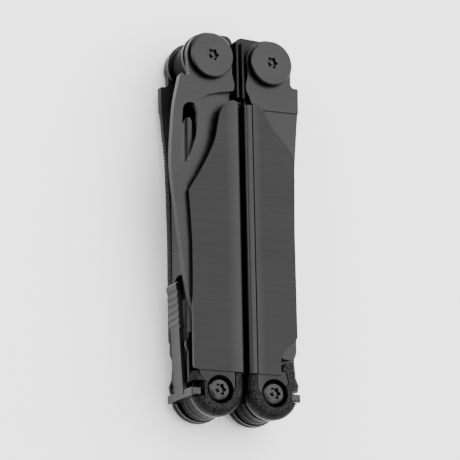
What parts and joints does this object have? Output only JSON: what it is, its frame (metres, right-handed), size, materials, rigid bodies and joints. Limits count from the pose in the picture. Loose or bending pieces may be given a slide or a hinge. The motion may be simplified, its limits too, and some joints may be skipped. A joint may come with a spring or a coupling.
{
  "type": "multi tool",
  "caption": "Folding-pliers pocket multi-tool, closed: two channel handles with outside-opening blades, inside tools and lock levers.",
  "frame": {"origin": "centre of the closed tool's outline, on the plane of its lowest (back) face", "axes": "+Y along the handles towards the plier pivots, +Z out of the front face, +X towards the saw-side handle"},
  "size_m": [0.0402, 0.1022, 0.0178],
  "materials": {
    "cover": "black oxide, brushed across the handle",
    "frame": "black oxide, satin",
    "blade": "black oxide, satin",
    "cast_steel": "black oxide over tumbled casting, matt",
    "pivot_disc": "black oxide, fine satin",
    "screw": "black oxide, semi-bright",
    "lever": "black oxide, satin",
    "plier_steel": "black oxide, satin",
    "tool_steel": "black oxide, satin"
  },
  "bodies": {
    "pliers": {"left_plier_arm": "plier_steel", "plier_rivet": "screw"},
    "right_jaw": {"right_plier_arm": "plier_steel"},
    "left_handle": {"left_frame": "frame", "knife_cover": "cover", "file_cover": "cover", "left_front_bolster": "cast_steel", "left_back_bolster": "cast_steel", "left_pivot_screw": "pivot_disc", "left_pivot_post": "pivot_disc", "left_axle_screw": "screw", "left_axle_post": "screw", "left_lever_spring": "lever"},
    "right_handle": {"right_frame": "frame", "serrated_knife_cover": "cover", "saw_cover": "cover", "right_front_bolster": "cast_steel", "right_back_bolster": "cast_steel", "right_pivot_screw": "pivot_disc", "right_pivot_post": "pivot_disc", "right_axle_screw": "screw", "right_axle_post": "screw", "right_lever_spring": "lever", "right_front_spacer": "tool_steel", "right_back_spacer": "tool_steel"},
    "knife": {"knife": "blade"},
    "file": {"file": "blade"},
    "serrated_knife": {"serrated_knife": "blade"},
    "saw": {"saw": "blade"},
    "knife_lock": {"knife_lock": "frame"},
    "file_lock": {"file_lock": "frame"},
    "serrated_knife_lock": {"serrated_knife_lock": "frame"},
    "saw_lock": {"saw_lock": "frame"},
    "left_lock_lever": {"left_lock_lever": "lever"},
    "right_lock_lever": {"right_lock_lever": "lever"},
    "can_opener": {"can_opener": "tool_steel"},
    "medium_screwdriver": {"medium_screwdriver": "tool_steel"},
    "large_screwdriver": {"large_screwdriver": "tool_steel"},
    "small_bit_driver": {"small_bit_driver": "tool_steel"},
    "lanyard_link": {"lanyard_link": "tool_steel"},
    "scissors_moving_blade": {"scissors_moving_blade": "tool_steel"},
    "large_bit_driver": {"large_bit_driver": "tool_steel", "driver_bit": "tool_steel"},
    "scissors": {"scissors_fixed_blade": "tool_steel", "scissors_rivet": "screw"}
  },
  "joints": [
    {"name": "left_handle_swing", "type": "hinge", "parent": "pliers", "child": "left_handle", "pos_m": [-0.0086, 0.0435, 0.0089], "axis": [0, 0, -1], "range_deg": [0, 180]},
    {"name": "right_handle_swing", "type": "hinge", "parent": "right_jaw", "child": "right_handle", "pos_m": [0.0086, 0.0435, 0.0089], "axis": [0, 0, 1], "range_deg": [0, 180]},
    {"name": "jaw_opening", "type": "hinge", "parent": "pliers", "child": "right_jaw", "pos_m": [0, 0.0257, 0.0089], "axis": [0, 0, -1], "range_deg": [0, 36]},
    {"name": "knife_swing", "type": "hinge", "parent": "left_handle", "child": "knife", "pos_m": [-0.0086, 0.0435, 0.01505], "axis": [0, 0, 1], "range_deg": [-180, 0]},
    {"name": "serrated_knife_swing", "type": "hinge", "parent": "right_handle", "child": "serrated_knife", "pos_m": [0.0086, 0.0435, 0.00275], "axis": [0, 0, -1], "range_deg": [-180, 0]},
    {"name": "file_swing", "type": "hinge", "parent": "left_handle", "child": "file", "pos_m": [-0.0086, 0.0435, 0.00275], "axis": [0, 0, -1], "range_deg": [0, 180]},
    {"name": "saw_swing", "type": "hinge", "parent": "right_handle", "child": "saw", "pos_m": [0.0086, 0.0435, 0.01505], "axis": [0, 0, 1], "range_deg": [0, 180]},
    {"name": "knife_lock_flex", "type": "hinge", "parent": "left_handle", "child": "knife_lock", "pos_m": [-0.0106, 0.0027, 0.01325], "axis": [1, 0, 0], "range_deg": [0, 1.7]},
    {"name": "serrated_knife_lock_flex", "type": "hinge", "parent": "right_handle", "child": "serrated_knife_lock", "pos_m": [0.0106, 0.0027, 0.00455], "axis": [-1, 0, 0], "range_deg": [0, 1.7]},
    {"name": "file_lock_flex", "type": "hinge", "parent": "left_handle", "child": "file_lock", "pos_m": [-0.0106, 0.0027, 0.00455], "axis": [-1, 0, 0], "range_deg": [0, 1.7]},
    {"name": "saw_lock_flex", "type": "hinge", "parent": "right_handle", "child": "saw_lock", "pos_m": [0.0106, 0.0027, 0.01325], "axis": [1, 0, 0], "range_deg": [0, 1.7]},
    {"name": "left_lever_press", "type": "hinge", "parent": "left_handle", "child": "left_lock_lever", "pos_m": [-0.0149, -0.0453, 0.0089], "axis": [0, 0, -1], "range_deg": [0, 4], "stiffness_Nm_per_rad": 1},
    {"name": "right_lever_press", "type": "hinge", "parent": "right_handle", "child": "right_lock_lever", "pos_m": [0.0149, -0.0453, 0.0089], "axis": [0, 0, 1], "range_deg": [0, 4], "stiffness_Nm_per_rad": 1},
    {"name": "large_bit_driver_swing", "type": "hinge", "parent": "left_handle", "child": "large_bit_driver", "pos_m": [-0.0077, -0.0445, 0.0089], "axis": [0, 0, -1], "range_deg": [0, 180]},
    {"name": "can_opener_swing", "type": "hinge", "parent": "left_handle", "child": "can_opener", "pos_m": [-0.0077, -0.0445, 0.0089], "axis": [0, 0, -1], "range_deg": [0, 180]},
    {"name": "medium_screwdriver_swing", "type": "hinge", "parent": "left_handle", "child": "medium_screwdriver", "pos_m": [-0.0077, -0.0445, 0.0089], "axis": [0, 0, -1], "range_deg": [0, 180]},
    {"name": "large_screwdriver_swing", "type": "hinge", "parent": "right_handle", "child": "large_screwdriver", "pos_m": [0.0077, -0.0445, 0.0089], "axis": [0, 0, 1], "range_deg": [0, 180]},
    {"name": "scissors_swing", "type": "hinge", "parent": "right_handle", "child": "scissors", "pos_m": [0.0077, -0.0445, 0.0089], "axis": [0, 0, 1], "range_deg": [0, 180]},
    {"name": "small_bit_driver_swing", "type": "hinge", "parent": "right_handle", "child": "small_bit_driver", "pos_m": [0.0077, -0.0445, 0.0089], "axis": [0, 0, 1], "range_deg": [0, 180]},
    {"name": "lanyard_link_swing", "type": "hinge", "parent": "right_handle", "child": "lanyard_link", "pos_m": [0.0077, -0.0445, 0.0089], "axis": [0, 0, 1], "range_deg": [0, 180]},
    {"name": "scissors_opening", "type": "hinge", "parent": "scissors", "child": "scissors_moving_blade", "pos_m": [0.0106, -0.0173, 0.0089], "axis": [0, 0, -1], "range_deg": [0, 15]}
  ],
  "couplings": [
    {"joint": "right_handle_swing", "follows": "left_handle_swing", "ratio": 1},
    {"joint": "jaw_opening", "follows": "left_handle_swing", "ratio": 0.19444},
    {"joint": "knife_lock_flex", "follows": "knife_swing", "ratio": -0.008889},
    {"joint": "serrated_knife_lock_flex", "follows": "serrated_knife_swing", "ratio": -0.008889},
    {"joint": "file_lock_flex", "follows": "file_swing", "ratio": 0.008889},
    {"joint": "saw_lock_flex", "follows": "saw_swing", "ratio": 0.008889},
    {"joint": "large_bit_driver_swing", "follows": "left_handle_swing", "ratio": 0.55},
    {"joint": "can_opener_swing", "follows": "left_handle_swing", "ratio": 0.72},
    {"joint": "medium_screwdriver_swing", "follows": "left_handle_swing", "ratio": 0.68},
    {"joint": "large_screwdriver_swing", "follows": "left_handle_swing", "ratio": 0.6},
    {"joint": "scissors_swing", "follows": "left_handle_swing", "ratio": 0.52},
    {"joint": "small_bit_driver_swing", "follows": "left_handle_swing", "ratio": 0.9},
    {"joint": "lanyard_link_swing", "follows": "left_handle_swing", "ratio": 0.5},
    {"joint": "scissors_opening", "follows": "left_handle_swing", "ratio": 0.077778}
  ]
}
